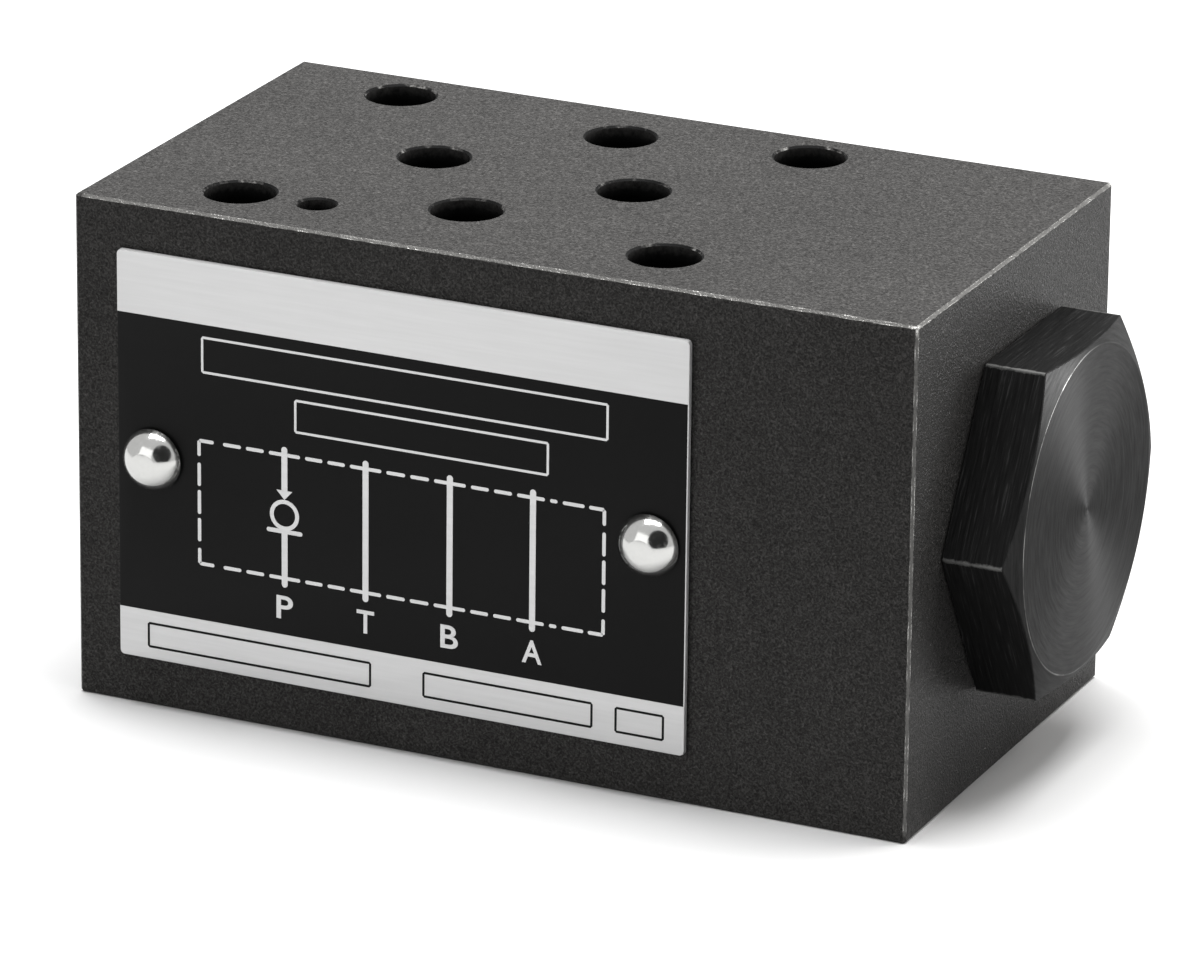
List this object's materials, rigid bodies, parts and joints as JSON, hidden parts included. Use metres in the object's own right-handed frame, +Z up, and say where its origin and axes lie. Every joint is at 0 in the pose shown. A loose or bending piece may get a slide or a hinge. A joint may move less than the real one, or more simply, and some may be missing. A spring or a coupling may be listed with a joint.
{
  "type": "sandwich check valve",
  "caption": "Drilled iron block with through ports and bolt holes, a screwed-on front plate, and a cone poppet, seat and spring behind a large hexagon plug on one end.",
  "frame": {"origin": "middle of the bolt pattern on the bottom mounting face", "axes": "+X along the block towards the hexagon plug, +Z up through the ports, the name plate faces -Y"},
  "size_m": [0.0866, 0.0469, 0.0468],
  "materials": {
    "phosphated_iron": "dark phosphated, ground faces",
    "black_oxide_steel": "black oxide over turned marks",
    "plate_aluminium": "satin with printed black field",
    "nickel_plate": "bright nickel",
    "ground_steel": "hardened and ground",
    "spring_steel": "wound wire",
    "nitrile_rubber": "matt black"
  },
  "bodies": {
    "valve": {"valve_body": "phosphated_iron", "hex_plug": "black_oxide_steel", "name_plate": "plate_aluminium", "drive_screw_left": "nickel_plate", "drive_screw_right": "nickel_plate", "valve_seat": "ground_steel", "guide_sleeve": "ground_steel", "check_spring": "spring_steel", "plug_o_ring": "nitrile_rubber", "seat_o_ring": "nitrile_rubber", "port_o_ring_p": "nitrile_rubber", "port_o_ring_t": "nitrile_rubber", "port_o_ring_a": "nitrile_rubber", "port_o_ring_b": "nitrile_rubber"},
    "poppet": {"check_poppet": "ground_steel"}
  },
  "joints": [
    {"name": "poppet_lift", "type": "slide", "parent": "valve", "child": "poppet", "axis": [1, 0, 0], "range_m": [0, 0.003], "stiffness_N_per_m": 500, "springref_m": -0.004, "deforming": ["check_spring"]}
  ]
}
